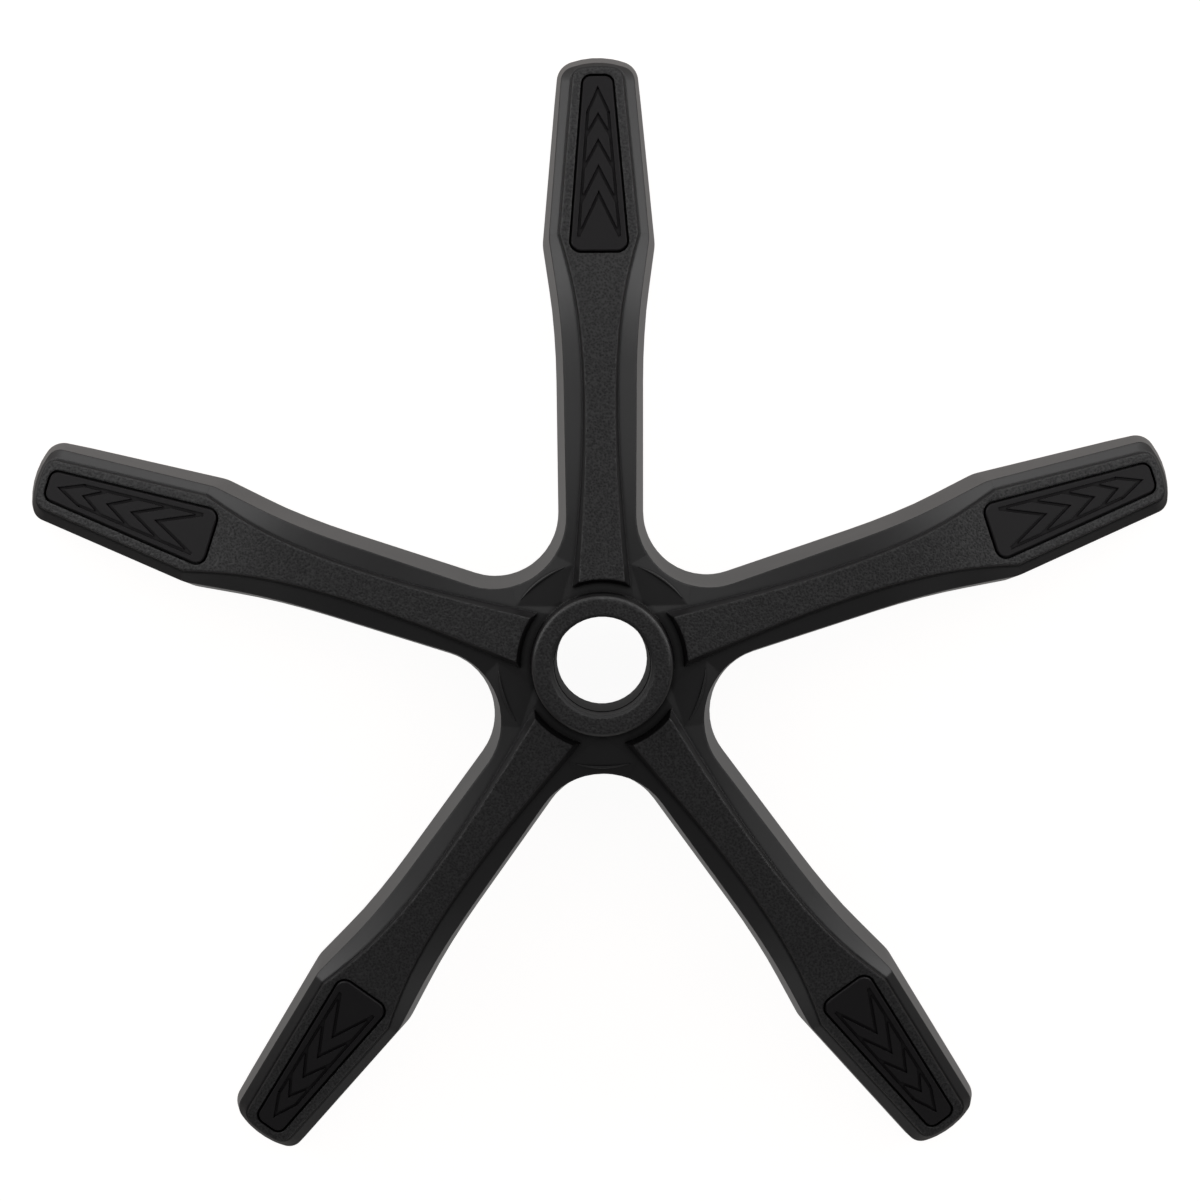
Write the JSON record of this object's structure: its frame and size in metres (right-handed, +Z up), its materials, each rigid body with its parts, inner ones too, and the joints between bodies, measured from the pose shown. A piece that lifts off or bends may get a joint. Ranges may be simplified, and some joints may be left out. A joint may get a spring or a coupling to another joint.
{
  "type": "office chair star base",
  "caption": "Star-shaped moulded office chair base: a hub bored for a gas lift column, ribbed hollow arms that slope down to castor sockets, and chevron-grooved foot pads set into the arm ends.",
  "frame": {"origin": "on the hub's axis, where the straight wall of its bore begins, 1.5 mm under the hub's top face", "axes": "+Z up along the hub's axis, the way the gas column leaves; +Y along one arm"},
  "size_m": [0.6164, 0.5891, 0.0925],
  "materials": {
    "nylon": "black glass-filled nylon, leather grain on the spines, plateaus and collar, satin shoulders",
    "pad": "black moulded polypropylene, smooth satin"
  },
  "bodies": {
    "root": {"star_base": "nylon", "foot_pad_1": "pad", "foot_pad_2": "pad", "foot_pad_3": "pad", "foot_pad_4": "pad", "foot_pad_5": "pad"}
  },
  "joints": []
}
